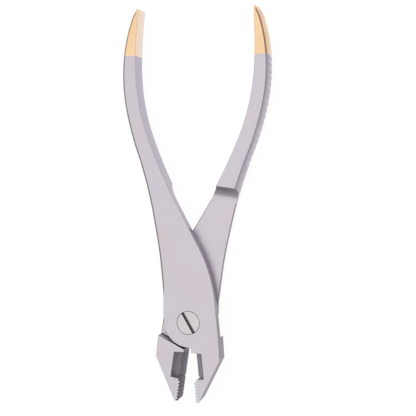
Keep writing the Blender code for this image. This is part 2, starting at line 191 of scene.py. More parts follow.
class JointSizes(bpy.types.PropertyGroup):
    """Sizes of the lap joint and its screw"""

    radius: length("Joint radius", 11.4, "Radius of the joint disc")
    shoulder_clear: length("Shoulder clearance", 0.6, "Gap between the disc and the shoulder")
    shoulder_slope: angle("Shoulder slope", 18.2, "Slope of the straight shoulder")
    shoulder_fillet: length("Shoulder fillet", 0.9, "Fillet at the foot of the shoulder")
    lap_length: length("Lap length", 57.1, "From the pivot up to the end of the flat lap")
    hollow_radius: length("Hollow radius", 7.0, "Hollow that rises from the lap to the face")
    lap_gap: length("Lap gap", 0.1, "Gap between the lap faces")
    head_diameter: length("Head diameter", 10.5, "Diameter of the screw head")
    head_thickness: length("Head thickness", 2.3, "Thickness of the screw head")
    shank_diameter: length("Shank diameter", 7.5, "Diameter of the bearing shank")
    tail_diameter: length("Tail diameter", 6.2, "Diameter of the threaded tail")
    slot_width: length("Slot width", 1.35, "Width of the driver slot")
    slot_depth: length("Slot depth", 1.1, "Depth of the driver slot")
    slot_turn: angle("Slot direction", 121.9, "Direction of the driver slot")
    run_clear: length("Running clearance", 0.1, "Clearance round the screw")
    edge_break: length("Edge break", 0.16, "Width of the broken edges")
    lap_break: length("Lap edge break", 0.3, "Width of the broken edges round the lap face")
    fine_break: length("Fine edge break", 0.04, "Width of the broken edges on carbide")


class Finishes(bpy.types.PropertyGroup):
    """Colours and gloss of the metals, and levels of painted shade and painted highlight on some
    faces
    """

    steel: colour("Steel", (0.605, 0.582, 0.63), "Satin steel")
    steel_warm: colour("Warm steel", (0.625, 0.572, 0.605), "Rosy clouds in the satin steel")
    steel_roughness: share("Steel roughness", 0.34, "Roughness of the satin steel")
    # Painted shade: the plain sides of the handles and jaws are drawn darker than the front faces
    side_shade_level: share("Side level", 0.78, "Brightness of the handles' plain sides")
    jaw_side_shade_level: share("Jaw side level", 0.4, "Brightness of the jaws' plain sides")
    # Painted shade on the crowned outer sides; the front half's level also shades its plated sides
    crown_shade_level: share("Crown level", 0.8, "Brightness of the crowned side of the rear half")
    front_half_shade_level: share("Dull level", 0.22, "Brightness of the crowned side of the front half")
    # Painted shade on the plate beside its front face: a darker crease where the face turns
    crease_shade_level: share("Crease level", 0.5, "Brightness of the plate beside its front face")
    # Painted shade on the jaws' slanted sides
    tip_side_shade_level: share("Tip side level", 0.22, "Brightness of the jaws' slanted sides")
    # Painted shadow along the edges round the lap, where the halves meet
    lap_edge_shade_level: share("Lap edge level", 0.3, "Brightness of the edges round the lap")
    # Painted shade in the notch: its milled steel takes the carbide's darker colour
    milled_shade_level: share("Milled level", 1.0, "Brightness of the milled notch against the carbide")
    # Painted shade inside the driver slot
    slot_shade_level: share("Slot level", 0.2, "Brightness inside the driver slot")
    # Broken edges: smoother from wear, and painted darker as painted shade where the faces turn
    edge_shade_level: number("Edge level", 0.7, "Brightness of worn edges")
    gold: colour("Gold", (0.915, 0.665, 0.42), "Gold plate")
    # Painted reflection on the inner sides of the plate: paler gold, turning rosy towards the back
    pale_gold: colour("Pale gold", (0.88, 0.68, 0.50), "Thinner plate on the inner sides")
    rosy_gold_reflection: colour("Rosy gold", (0.84, 0.71, 0.64), "Inner sides towards the back")
    # Painted highlight at the very end of the plate
    gold_glint: colour("Gold glint", (1.0, 0.95, 0.88), "Plate polished bright at the very end")
    # Painted shade: the plate on the outer sides is drawn darker than on the front faces
    gold_side: colour("Gold side", (0.84, 0.60, 0.41), "Plate on the outer sides")
    gold_roughness: share("Gold roughness", 0.30, "Roughness of the gold plate")
    # Ground carbide, darker than the lapped carbide: partly its own tone, partly painted shade on
    # the bevels that face each other
    carbide: colour("Carbide", (0.46, 0.425, 0.475), "Ground tungsten carbide")
    lapped_carbide: colour("Lapped carbide", (0.61, 0.59, 0.635), "Carbide lapped flush")
    carbide_roughness: share("Carbide roughness", 0.6, "Roughness of the ground carbide")
    # Painted shade on the tooth flanks between the carbide teeth
    tooth_shade_level: share("Tooth level", 0.55, "Brightness between the carbide teeth")
    screw: colour("Screw", (0.62, 0.585, 0.60), "Turned screw head")
    screw_roughness: share("Screw roughness", 0.30, "Roughness of the turned screw head")


class Studio(bpy.types.PropertyGroup):
    """Camera and light"""

    azimuth: angle("Camera azimuth", 15.07, "Turn of the camera to the right of the pivot axis")
    elevation: angle("Camera elevation", 3.13, "Lift of the camera towards the handle ends")
    roll: angle("Camera roll", 1.26, "Roll of the camera")
    distance: length("Camera distance", 375.36, "From the camera to the point it aims at")
    aim: FloatVectorProperty(name="Aim", description="Point the camera looks at",
                             default=(0.0066, 0.0525, 0.0035), size=3, subtype="TRANSLATION")
    lens: number("Lens", 70.95, "Focal length in millimetres", 1.0)
    softbox_level: number("Softbox level", 0.66, "Brightness of the softbox")
    room_level: number("Room level", 0.42, "Brightness of the bright patch")
    horizon_level: number("Horizon level", 0.25, "Brightness away from the bright patch")
    bright_way: FloatVectorProperty(name="Bright direction", default=(0.0, -0.5, 0.866), size=3,
                                    description="Direction of the room's bright patch",
                                    subtype="DIRECTION")


# Outlines of the shut tool, in plan
def arc(centre, radius, start, end):
    steps = max(2, math.ceil(abs(end - start) / ARC_STEP))
    points = []
    for i in range(steps + 1):
        a = start + (end - start) * i / steps
        points.append((centre[0] + radius * math.cos(a), centre[1] + radius * math.sin(a)))
    return points


def run(start, heading, legs):
    """Walk straight legs (length, 0) and tangent arcs (radius, turn)."""
    x, y = start
    points = [(x, y)]
    for size, turn in legs:
        path = abs(size * turn) if turn else size
        steps = max(2, math.ceil(path / EDGE_STEP))
        chord = 2 * size * math.sin(abs(turn) / steps / 2) if turn else path / steps
        for _ in range(steps):
            heading += turn / steps / 2
            x += chord * math.cos(heading)
            y += chord * math.sin(heading)
            heading += turn / steps / 2
            points.append((x, y))
    return points


class JawPlan:
    """Places on one jaw, worked out from its sizes."""

    def __init__(self, scene):
        self.jaw = jaw = scene.pliers_jaw
        self.joint = scene.pliers_joint
        clear = jaw.centre_clear
        self.heel_y = self.shoulder_y(clear)
        self.notch_top = self.heel_y - jaw.heel_height
        wall_top = self.notch_top - jaw.notch_depth * math.tan(jaw.notch_top)
        wall_foot = wall_top - jaw.notch_length
        self.notch_foot = wall_foot - jaw.notch_depth * math.tan(jaw.notch_foot)
        self.tip_y = self.notch_foot - jaw.grip_length
        self.tip_x = clear + jaw.tip_width
        self.seat = clear + jaw.insert_thickness + jaw.braze_gap
        self.corner = (jaw.half_width - jaw.side_lean, -jaw.side_length)

    def shoulder_y(self, x):
        slope = self.joint.shoulder_slope
        distance = self.joint.radius + self.joint.shoulder_clear
        return (x * math.sin(slope) - distance) / math.cos(slope)

    def notch_top_y(self, x):
        return self.notch_top - x * math.tan(self.jaw.notch_top)

    def notch_foot_y(self, x):
        return self.notch_foot + x * math.tan(self.jaw.notch_foot)

    def outer_y(self, x):
        t = (x - self.tip_x) / (self.corner[0] - self.tip_x)
        return self.tip_y + (self.corner[1] - self.tip_y) * t

    def bevel_x(self, z):
        clear, land = self.jaw.centre_clear, self.jaw.cutter_land
        return clear + (self.jaw.notch_depth - clear) * (z - land) / (THICKNESS - land)


def rounded_corner(before, corner, after, radius):
    """Arc that rounds the corner between two straight sides."""
    c = Vector(corner)
    u = (Vector(before) - c).normalized()
    v = (Vector(after) - c).normalized()
    half = u.angle(v) / 2
    centre = c + (u + v).normalized() * radius / math.sin(half)
    a = c + u * radius / math.tan(half) - centre
    b = c + v * radius / math.tan(half) - centre
    start = math.atan2(a.y, a.x)
    sweep = (math.atan2(b.y, b.x) - start + math.pi) % math.tau - math.pi
    return arc(centre, radius, start, start + sweep)


def handle_inner(handle, jaw):
    return run((jaw.half_width, handle.neck_start), math.pi / 2, [
        (handle.neck_radius, handle.neck_turn),
        (handle.neck_straight, 0),
        (handle.bow_low_radius, -handle.bow_low_turn),
        (handle.bow_mid_radius, -handle.bow_mid_turn),
        (handle.bow_end_radius, -handle.bow_end_turn),
    ])


def handle_outer(handle, jaw):
    """Outer edge from the joint up, walked down from the crest of the handle's end."""
    end = Vector(handle_inner(handle, jaw)[-1])
    way = handle.crest_way
    crest = end + handle.crest_width * Vector((math.cos(way), math.sin(way)))
    legs = [
        (handle.end_radius, handle.end_turn),
        (handle.palm_high_radius, handle.palm_high_turn),
        (handle.palm_low_radius, handle.palm_low_turn),
        (handle.flare_radius, -handle.flare_turn),
        (handle.back_straight, 0),
        (handle.back_radius, -handle.back_turn),
    ]
    heading = math.pi * 1.5 - sum(turn for _, turn in legs)
    return run(tuple(crest), heading, legs)[::-1]


def outer_rows(handle, jaw, joint):
    """Outer edge as rows of point, inward direction, crown share and flute depth."""
    upper = handle_outer(handle, jaw)
    low = Vector((-joint.radius, 0.0))
    foot_steps = math.ceil(upper[0][1] / EDGE_STEP)
    edge = [tuple(low.lerp(Vector(upper[0]), i / foot_steps)) for i in range(foot_steps)] + upper
    lengths = [math.dist(a, b) for a, b in zip(edge, edge[1:])]
    total = sum(lengths)
    flute_top = total - handle.plated_length
    flute_low = flute_top - handle.fluted_length
    flutes = max(1, round(handle.fluted_length / handle.flute_pitch))
    pitch = handle.fluted_length / flutes

    passed = [0.0]
    for step in lengths:
        passed.append(passed[-1] + step)
    stations = [way for way in passed if not flute_low < way < flute_top]
    count = flutes * FLUTE_STEPS
    stations += [flute_low + handle.fluted_length * i / count for i in range(count + 1)]

    rows = []
    index = 0
    for station in sorted(stations):
        while index < len(lengths) - 1 and passed[index + 1] < station:
            index += 1
        a, b = Vector(edge[index]), Vector(edge[index + 1])
        along = (b - a).normalized()
        crown = min(1.0, max(0.0, (station - joint.radius / 2) / handle.crown_run_out))
        near_end = max(0.0, 1.0 - (total - station) / handle.end_round)
        crown = min(crown, 1.0 - (1.0 - handle.crest_crown) * near_end)
        depth = 0.0
        if flute_low <= station <= flute_top:
            across = ((station - flute_low) / pitch % 1.0 - 0.5) * pitch
            if abs(across) < handle.flute_radius:
                sagitta = handle.flute_radius - math.sqrt(handle.flute_radius ** 2 - across ** 2)
                depth = max(0.0, handle.flute_depth - sagitta)
        point = a.lerp(b, (station - passed[index]) / lengths[index])
        rows.append((point, Vector((along.y, -along.x)), crown, depth))
    return rows


def half_rows(plan, handle):
    """Plan outline of one half, anticlockwise, in the same rows."""
    jaw, joint = plan.jaw, plan.joint
    still = Vector((0.0, 0.0))
    tip = (plan.tip_x, plan.tip_y)
    disc_end = math.radians(268)
    points = arc((0.0, 0.0), joint.radius, math.pi, disc_end)
    points += [(jaw.centre_clear, -joint.radius - joint.run_clear)]
    points += [(jaw.centre_clear, plan.heel_y), (jaw.centre_clear, plan.tip_y), tip]
    points += rounded_corner(tip, plan.corner, (jaw.half_width, 0.0), jaw.corner_radius)
    points += [(jaw.half_width, -jaw.side_length / 2)]
    points += handle_inner(handle, jaw)
    rows = [(Vector(p), still, 0.0, 0.0) for p in points]
    rows += outer_rows(handle, jaw, joint)[:0:-1]
    span = max(point.y for point, _, _, _ in rows) - handle.horn_start
    for point, _, _, _ in rows:
        point.y -= max(0.0, point.y - handle.horn_start) / span * handle.horn_draw
    return rows


# Mesh helpers
def bridge(bm, rings):
    """Skin a stack of rings that have the same number of vertices, and close its ends."""
    loops = [[bm.verts.new(p) for p in ring] for ring in rings]
    count = len(loops[0])
    for low, high in zip(loops, loops[1:]):
        for i in range(count):
            j = (i + 1) % count
            bm.faces.new((low[i], low[j], high[j], high[i]))
    bm.faces.new(loops[0][::-1])
    bm.faces.new(loops[-1])
    bmesh.ops.recalc_face_normals(bm, faces=bm.faces)


def turn_over(bm):
    """Half a turn about the long axis, through the middle of the thickness."""
    spin = Matrix.Translation((0, 0, THICKNESS)) @ Matrix.Rotation(math.pi, 4, "Y")
    bmesh.ops.transform(bm, matrix=spin, verts=bm.verts)


def mirror_x(bm):
    bmesh.ops.transform(bm, matrix=Matrix.Scale(-1, 4, (1, 0, 0)), verts=bm.verts)
    bmesh.ops.reverse_faces(bm, faces=bm.faces)


def new_object(name, data):
    obj = bpy.data.objects.new(name, data)
    bpy.context.scene.collection.objects.link(obj)
    return obj


def object_from(bm, name):
    mesh = bpy.data.meshes.new(name)
    bm.to_mesh(mesh)
    bm.free()
    return new_object(name, mesh)


def skin(name, rings, side=1, flip=mirror_x):
    """Object skinned over a stack of rings, and flipped where it belongs to the rear half."""
    bm = bmesh.new()
    bridge(bm, rings)
    if side < 0:
        flip(bm)
    return object_from(bm, name)


def cut_away(target, cutters):
    """Boolean cuts, one after another, made final in the mesh."""
    for cutter in cutters:
        mod = target.modifiers.new(cutter.name, "BOOLEAN")
        mod.operation = "DIFFERENCE"
        mod.solver = "EXACT"
        mod.object = cutter
    graph = bpy.context.evaluated_depsgraph_get()
    mesh = bpy.data.meshes.new_from_object(target.evaluated_get(graph), depsgraph=graph)
    old = target.data
    target.modifiers.clear()
    target.data = mesh
    mesh.name = target.name
    bpy.data.meshes.remove(old)
    for cutter in cutters:
        bpy.data.objects.remove(cutter, do_unlink=True)


def weld_short(bm, edges, width):
    """Draw stubs that are shorter than the broken edge into the corner beside them."""
    busy = {}
    for edge in edges:
        for vert in edge.verts:
            busy[vert] = busy.get(vert, 0) + 1
    moves = {}
    for edge in edges:
        keep, drop = sorted(edge.verts, key=busy.get, reverse=True)
        free = keep not in moves and drop not in moves and drop not in moves.values()
        if edge.calc_length() <= width and free:
            moves[drop] = keep
    bmesh.ops.weld_verts(bm, targetmap=moves)


def break_edges(obj, width, limit_deg, spare=lambda edge: False, material=-1):
    """Narrow rounded edges wherever two faces meet at more than the limit."""
    mesh = obj.data
    limit = math.radians(limit_deg)
    bm = bmesh.new()
    bm.from_mesh(mesh)
    bmesh.ops.remove_doubles(bm, verts=bm.verts, dist=WELD)
    bmesh.ops.dissolve_degenerate(bm, edges=bm.edges, dist=WELD)

    def sharp_edges():
        return [edge for edge in bm.edges if edge.is_manifold
                and edge.calc_face_angle() > limit and not spare(edge)]

    weld_short(bm, sharp_edges(), width)
    edges = [edge for edge in sharp_edges() if edge.calc_length() > width]
    bmesh.ops.bevel(bm, geom=edges, offset=width, offset_type="OFFSET", segments=2, profile=0.5,
                    affect="EDGES", clamp_overlap=False, material=material)
    bm.to_mesh(mesh)
    bm.free()
    mesh.shade_smooth()
    mesh.set_sharp_from_angle(angle=limit)
    weigh = obj.modifiers.new("Face-weighted normals", "WEIGHTED_NORMAL")
    weigh.keep_sharp = True


# Cutters
def lap_cutter(plan, side):
    """Takes half the thickness off between the shoulder and the hollow above the flat lap."""
    joint = plan.joint
    face = THICKNESS / 2 + joint.lap_gap / 2
    rise = 1 - (face + OVERCUT / 2) / joint.hollow_radius
    hollow_turn = math.acos(max(0.0, rise))
    rings = []
    for x in (-REACH, REACH):
        wall = plan.shoulder_y(x)
        ring = [(x, wall, -OVERCUT), (x, wall, face - joint.shoulder_fillet)]
        for i in range(1, FILLET_STEPS + 1):
            a = math.pi / 2 * i / FILLET_STEPS
            y = wall + joint.shoulder_fillet * (1 - math.cos(a))
            ring.append((x, y, face - joint.shoulder_fillet * (1 - math.sin(a))))
        for i in range(FILLET_STEPS + 1):
            a = hollow_turn * i / FILLET_STEPS
            y = joint.lap_length + joint.hollow_radius * math.sin(a)
            ring.append((x, y, face - joint.hollow_radius * (1 - math.cos(a))))
        ring.append((x, y, -OVERCUT))
        rings.append(ring)
    return skin("lap_cutter", rings, side, turn_over)


def notch_cutter(plan, side):
    """Opens the side-cutter notch from the front face down to the land."""
    land, clear = plan.jaw.cutter_land, plan.jaw.centre_clear
    top = THICKNESS + OVERCUT
    open_x = -2 * OVERCUT
    section = [(open_x, land), (clear, land), (plan.bevel_x(top), top), (open_x, top)]
    rings = [[(x, end_y(x), z) for x, z in section]
             for end_y in (plan.notch_foot_y, plan.notch_top_y)]
    return skin("notch_cutter", rings, side)


def seat_cutter(plan, side):
    """Straight seat behind both brazed inserts, from the heel to the tip."""
    seat = plan.seat
    open_x = -2 * OVERCUT
    far = plan.tip_y - 2 * OVERCUT
    profile = [(open_x, plan.notch_top_y(open_x)), (open_x, far), (seat, far),
               (seat, plan.notch_top_y(seat))]
    rings = [[(x, y, z) for x, y in profile] for z in (-OVERCUT, THICKNESS + OVERCUT)]
    return skin("seat_cutter", rings, side)


def end_cutters(end_y, handle):
    """Round the end of the handle in side view, most at the tool's back."""
    cutters = []
    for flip in (False, True):
        radius = handle.end_round if flip else handle.end_round_front
        out_z = THICKNESS + OVERCUT
        profile = [(end_y - radius, out_z), (end_y + OVERCUT, out_z),
                   (end_y + OVERCUT, THICKNESS - radius)]
        profile += arc((end_y - radius, THICKNESS - radius), radius, 0, math.pi / 2)
        profile = [(y, THICKNESS - z if flip else z) for y, z in profile]
        rings = [[(x, y, z) for y, z in profile] for x in (-REACH, REACH)]
        cutters.append(skin("end_cutter", rings))
    return cutters


def turned(name, profile):
    """Revolve a profile of radius and height that starts and ends on the Z axis."""
    bm = bmesh.new()
    verts = [bm.verts.new((r, 0.0, z)) for r, z in profile]
    edges = [bm.edges.new(pair) for pair in zip(verts, verts[1:])]
    bmesh.ops.spin(bm, geom=verts + edges, cent=(0, 0, 0), axis=(0, 0, 1),
                   angle=math.tau, steps=ROUND_STEPS, use_merge=True)
    bmesh.ops.remove_doubles(bm, verts=bm.verts, dist=TINY)
    bmesh.ops.recalc_face_normals(bm, faces=bm.faces)
    return object_from(bm, name)


def bore_cutter(joint, side):
    """Stepped running bore in the front half, tapping hole in the rear half."""
    top = THICKNESS + OVERCUT
    if side > 0:
        hole = joint.shank_diameter / 2 + joint.run_clear
        head = joint.head_diameter / 2 + joint.run_clear
        floor = THICKNESS - joint.head_thickness - joint.run_clear
        profile = [(0, top), (head, top), (head, floor), (hole, floor), (hole, -OVERCUT),
                   (0, -OVERCUT)]
    else:
        tail = joint.tail_diameter / 2 + joint.run_clear
        profile = [(0, top), (tail, top), (tail, -OVERCUT), (0, -OVERCUT)]
    return turned("bore_cutter", profile)


# Finishes: tints, how marks are drawn out, how deep they are, and changes of roughness
# MAUVE and BLUE tint the painted shade on the sides, crowns and creases
MAUVE = (1.0, 0.90, 0.98)
BLUE = (1.0, 1.0, 1.09)
DEEP = (0.97, 0.93, 0.86)
STREAKS = (6.0, 0.25, 1.5)
GRINDING = (0.6, 9.0, 0.6)
GRAIN_DEPTH = 0.04 * MM
MARK_DEPTH = 0.05 * MM
STREAK_DEPTH = 0.06 * MM
DULLED = 0.04
WORN = -0.06


def shade(colour, level, tint=(1.0, 1.0, 1.0)):
    return tuple(min(1.0, c * level * k) for c, k in zip(colour, tint))


def add_node(tree, kind, inputs=(), **settings):
    """Shader node with its sockets linked or set."""
    node = tree.nodes.new("ShaderNode" + kind)
    for key, value in settings.items():
        setattr(node, key, value)
    for socket, value in dict(inputs).items():
        if isinstance(value, bpy.types.NodeSocket):
            tree.links.new(value, node.inputs[socket])
        else:
            node.inputs[socket].default_value = value
    return node


class Nodes:
    """Short hand for laying out a material's nodes."""

    def __init__(self, name):
        self.material = bpy.data.materials.new(name)
        self.material.use_nodes = True
        self.tree = self.material.node_tree
        self.shader = self.tree.nodes["Principled BSDF"]
        self.shader.inputs["Metallic"].default_value = 1.0

    def add(self, kind, inputs=(), **settings):
        return add_node(self.tree, kind, inputs, **settings)

    def place(self, scale=(1, 1, 1)):
        """The piece's own coordinates in metres, stretched by scale."""
        own = self.add("TexCoord").outputs["Object"]
        return self.add("Mapping", {"Vector": own, "Scale": scale}).outputs[0]

    def noise(self, place, scale, detail=2.0):
        inputs = {"Vector": place, "Scale": scale, "Detail": detail}
        return self.add("TexNoise", inputs).outputs["Fac"]

    def spread(self, value, low, high):
        """Map the middle of a noise onto a range."""
        inputs = {"Value": value, "From Min": 0.3, "From Max": 0.7, "To Min": low, "To Max": high}
        return self.add("MapRange", inputs).outputs["Result"]

    def blend(self, factor, first, second):
        """Mix two colours; a Mix node keeps its colour sockets behind its plain ones."""
        pair = {6: first, 7: second}
        for socket, value in pair.items():
            if not isinstance(value, bpy.types.NodeSocket):
                pair[socket] = (*value, 1.0)
        return self.add("Mix", {"Factor": factor, **pair}, data_type="RGBA").outputs[2]

    def ramp(self, axis, low, high):
        """Share of the way from low to high along one axis of the piece."""
        place = self.add("SeparateXYZ", {0: self.place()}).outputs[axis]
        inputs = {"Value": place, "From Min": low, "From Max": high}
        return self.add("MapRange", inputs, interpolation_type="SMOOTHSTEP").outputs["Result"]

    def bump(self, height, strength, distance, normal=None):
        inputs = {"Height": height, "Strength": strength, "Distance": distance}
        if normal is not None:
            inputs["Normal"] = normal
        return self.add("Bump", inputs).outputs["Normal"]

    def drive(self, socket, value):
        self.tree.links.new(value, self.shader.inputs[socket])

    def cloud(self, scale, detail, first, second):
        """Base colour that drifts between two colours."""
        clouds = self.noise(self.place(), scale, detail)
        self.drive("Base Color", self.blend(self.spread(clouds, 0.0, 1.0), first, second))

    def relief(self, marks, smooth, rough, strength, depth, under=None):
        """Marks that vary the gloss and stand out a little."""
        self.drive("Roughness", self.spread(marks, smooth, rough))
        self.drive("Normal", self.bump(marks, strength, depth, under))

    def brush(self, smooth, rough, grain_strength, streak_strength):
        """Faint brushed streaks over a fine blasted grain."""
        streaks = self.noise(self.place(STREAKS), 900.0, 3.0)
        grain = self.noise(self.place(), 5200.0, 1.0)
        fine = self.bump(grain, grain_strength, GRAIN_DEPTH)
        self.relief(streaks, smooth, rough, streak_strength, STREAK_DEPTH, fine)


def satin_steel(name, main, warm, roughness):
    """Bead-blasted and brushed steel: fine grain, faint streaks, soft rosy clouds."""
    n = Nodes(name)
    n.cloud(70.0, 1.5, main, warm)
    n.brush(roughness - 0.05, roughness + 0.06, 0.10, 0.06)
    return n.material


def side_steel(name, main, handle_shade_level, jaw_shade_level, roughness):
    """Forged sides with painted shade: darkest at the jaws and lighter up the handles."""
    n = Nodes(name)
    # Painted shade and reflection: bluer towards the back, mauve towards the front, darker towards
    # the jaws
    mauve, blue = shade(main, handle_shade_level, MAUVE), shade(main, handle_shade_level, BLUE)
    handle = n.blend(n.ramp("Z", 0.0, THICKNESS), blue, mauve)
    along = n.ramp("Y", 0.0, 35 * MM)
    n.drive("Base Color", n.blend(along, shade(main, jaw_shade_level, MAUVE), handle))
    n.brush(roughness - 0.05, roughness + 0.06, 0.10, 0.06)
    return n.material


def gold_plate(name, main, roughness, back=None):
    """Bright plating over the same satin surface, a little deeper in patches."""
    n = Nodes(name)
    deep = shade(main, 1.0, DEEP)
    # A back colour paints the plate towards it at the back: painted reflection on the inner sides
    if back is not None:
        main = deep = n.blend(n.ramp("Z", 0.0, THICKNESS), back, main)
    n.cloud(160.0, 2.0, main, deep)
    n.brush(roughness - 0.04, roughness + 0.05, 0.08, 0.05)
    return n.material


def ground_carbide(name, main, roughness):
    """Sintered carbide with fine grinding marks across the jaw, in the colour it is given."""
    n = Nodes(name)
    n.cloud(3500.0, 2.0, main, shade(main, 0.8))
    marks = n.noise(n.place(GRINDING), 1500.0, 2.0)
    n.relief(marks, roughness - 0.06, roughness + 0.08, 0.10, MARK_DEPTH)
    return n.material


def turned_steel(name, main, roughness):
    """Lathe-faced steel: fine rings about the pivot axis."""
    n = Nodes(name)
    rings = n.add("TexWave", {"Vector": n.place(), "Scale": 900.0, "Distortion": 0.4},
                  wave_type="RINGS", rings_direction="Z").outputs["Fac"]
    n.cloud(260.0, 2.0, main, shade(main, 1.06))
    n.relief(rings, roughness - 0.02, roughness + 0.04, 0.05, MARK_DEPTH)
    return n.material


def finish(name):
    """A named finish, made once."""
    made = bpy.data.materials.get(name)
    if made:
        return made
    f = bpy.context.scene.pliers_finishes
    # side is the gold of the outer sides, darkened as painted shade
    steel, warm, side, carbide = f.steel, f.steel_warm, f.gold_side, f.carbide
    satin, gilt, ground = f.steel_roughness, f.gold_roughness, f.carbide_roughness
    # Darker copies of the steel: painted shade on the broken edges, round the lap and inside the
    # slot
    edge, lap, slot = (shade(steel, k) for k in (f.edge_shade_level, f.lap_edge_shade_level, f.slot_shade_level))
    # tip is the steel of the slanted jaw sides, darkened as painted shade
    tip = shade(steel, f.tip_side_shade_level, MAUVE)
    # milled is the notch's steel in the carbide's colour, as painted shade
    milled = shade(carbide, f.milled_shade_level)
    looks = {
        "satin_steel": (satin_steel, steel, warm, satin),
        "worn_steel_edge": (satin_steel, edge, edge, satin + WORN),
        "side_steel": (side_steel, steel, f.side_shade_level, f.jaw_side_shade_level, satin),
        "crown_steel": (satin_steel, shade(steel, f.crown_shade_level, MAUVE),
                        shade(warm, f.crown_shade_level), satin + DULLED),
        "dull_steel": (satin_steel, shade(steel, f.front_half_shade_level), shade(warm, f.front_half_shade_level),
                       satin + DULLED),
        "tip_side_steel": (satin_steel, tip, tip, satin),
        "lap_edge_steel": (satin_steel, lap, lap, satin),
        "milled_steel": (satin_steel, milled, milled, ground),
        "gold_plate": (gold_plate, f.gold, gilt),
        "pale_gold_plate": (gold_plate, f.pale_gold, gilt, f.rosy_gold_reflection),
        "dull_gold": (gold_plate, shade(side, f.front_half_shade_level, MAUVE), gilt + DULLED),
        "gold_glint": (gold_plate, f.gold_glint, gilt),
        "gold_crease": (gold_plate, shade(side, f.crease_shade_level, MAUVE), gilt + DULLED),
        "gold_side": (gold_plate, side, gilt),
        "worn_gold_edge": (gold_plate, shade(f.gold, f.edge_shade_level), gilt + WORN),
        "ground_carbide": (ground_carbide, carbide, ground),
        "toothed_carbide": (ground_carbide, shade(carbide, f.tooth_shade_level), ground),
        "lapped_carbide": (satin_steel, f.lapped_carbide, f.lapped_carbide, satin),
        "turned_steel": (turned_steel, f.screw, f.screw_roughness),
        "slot_steel": (satin_steel, slot, slot, satin),
    }
    maker, *settings = looks[name]
    return maker(name, *settings)


def paint(obj, pick):
    """Give each face the finish that pick names for it."""
    picked = [pick(face) for face in obj.data.polygons]
    names = sorted(set(picked))
    for name in names:
        obj.data.materials.append(finish(name))
    for face, name in zip(obj.data.polygons, picked):
        face.material_index = names.index(name)


def settle(piece, node, body, turn):
    """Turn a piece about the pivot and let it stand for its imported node."""
    piece.data.transform(Matrix.Rotation(turn, 4, "Z"))
    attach(piece, body)
    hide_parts(node)


def side_property():
    items = [("front", "Front", "The half that lies over"), ("rear", "Rear", "The half beneath")]
    return EnumProperty(name="Half", description="Which half to build", items=items)


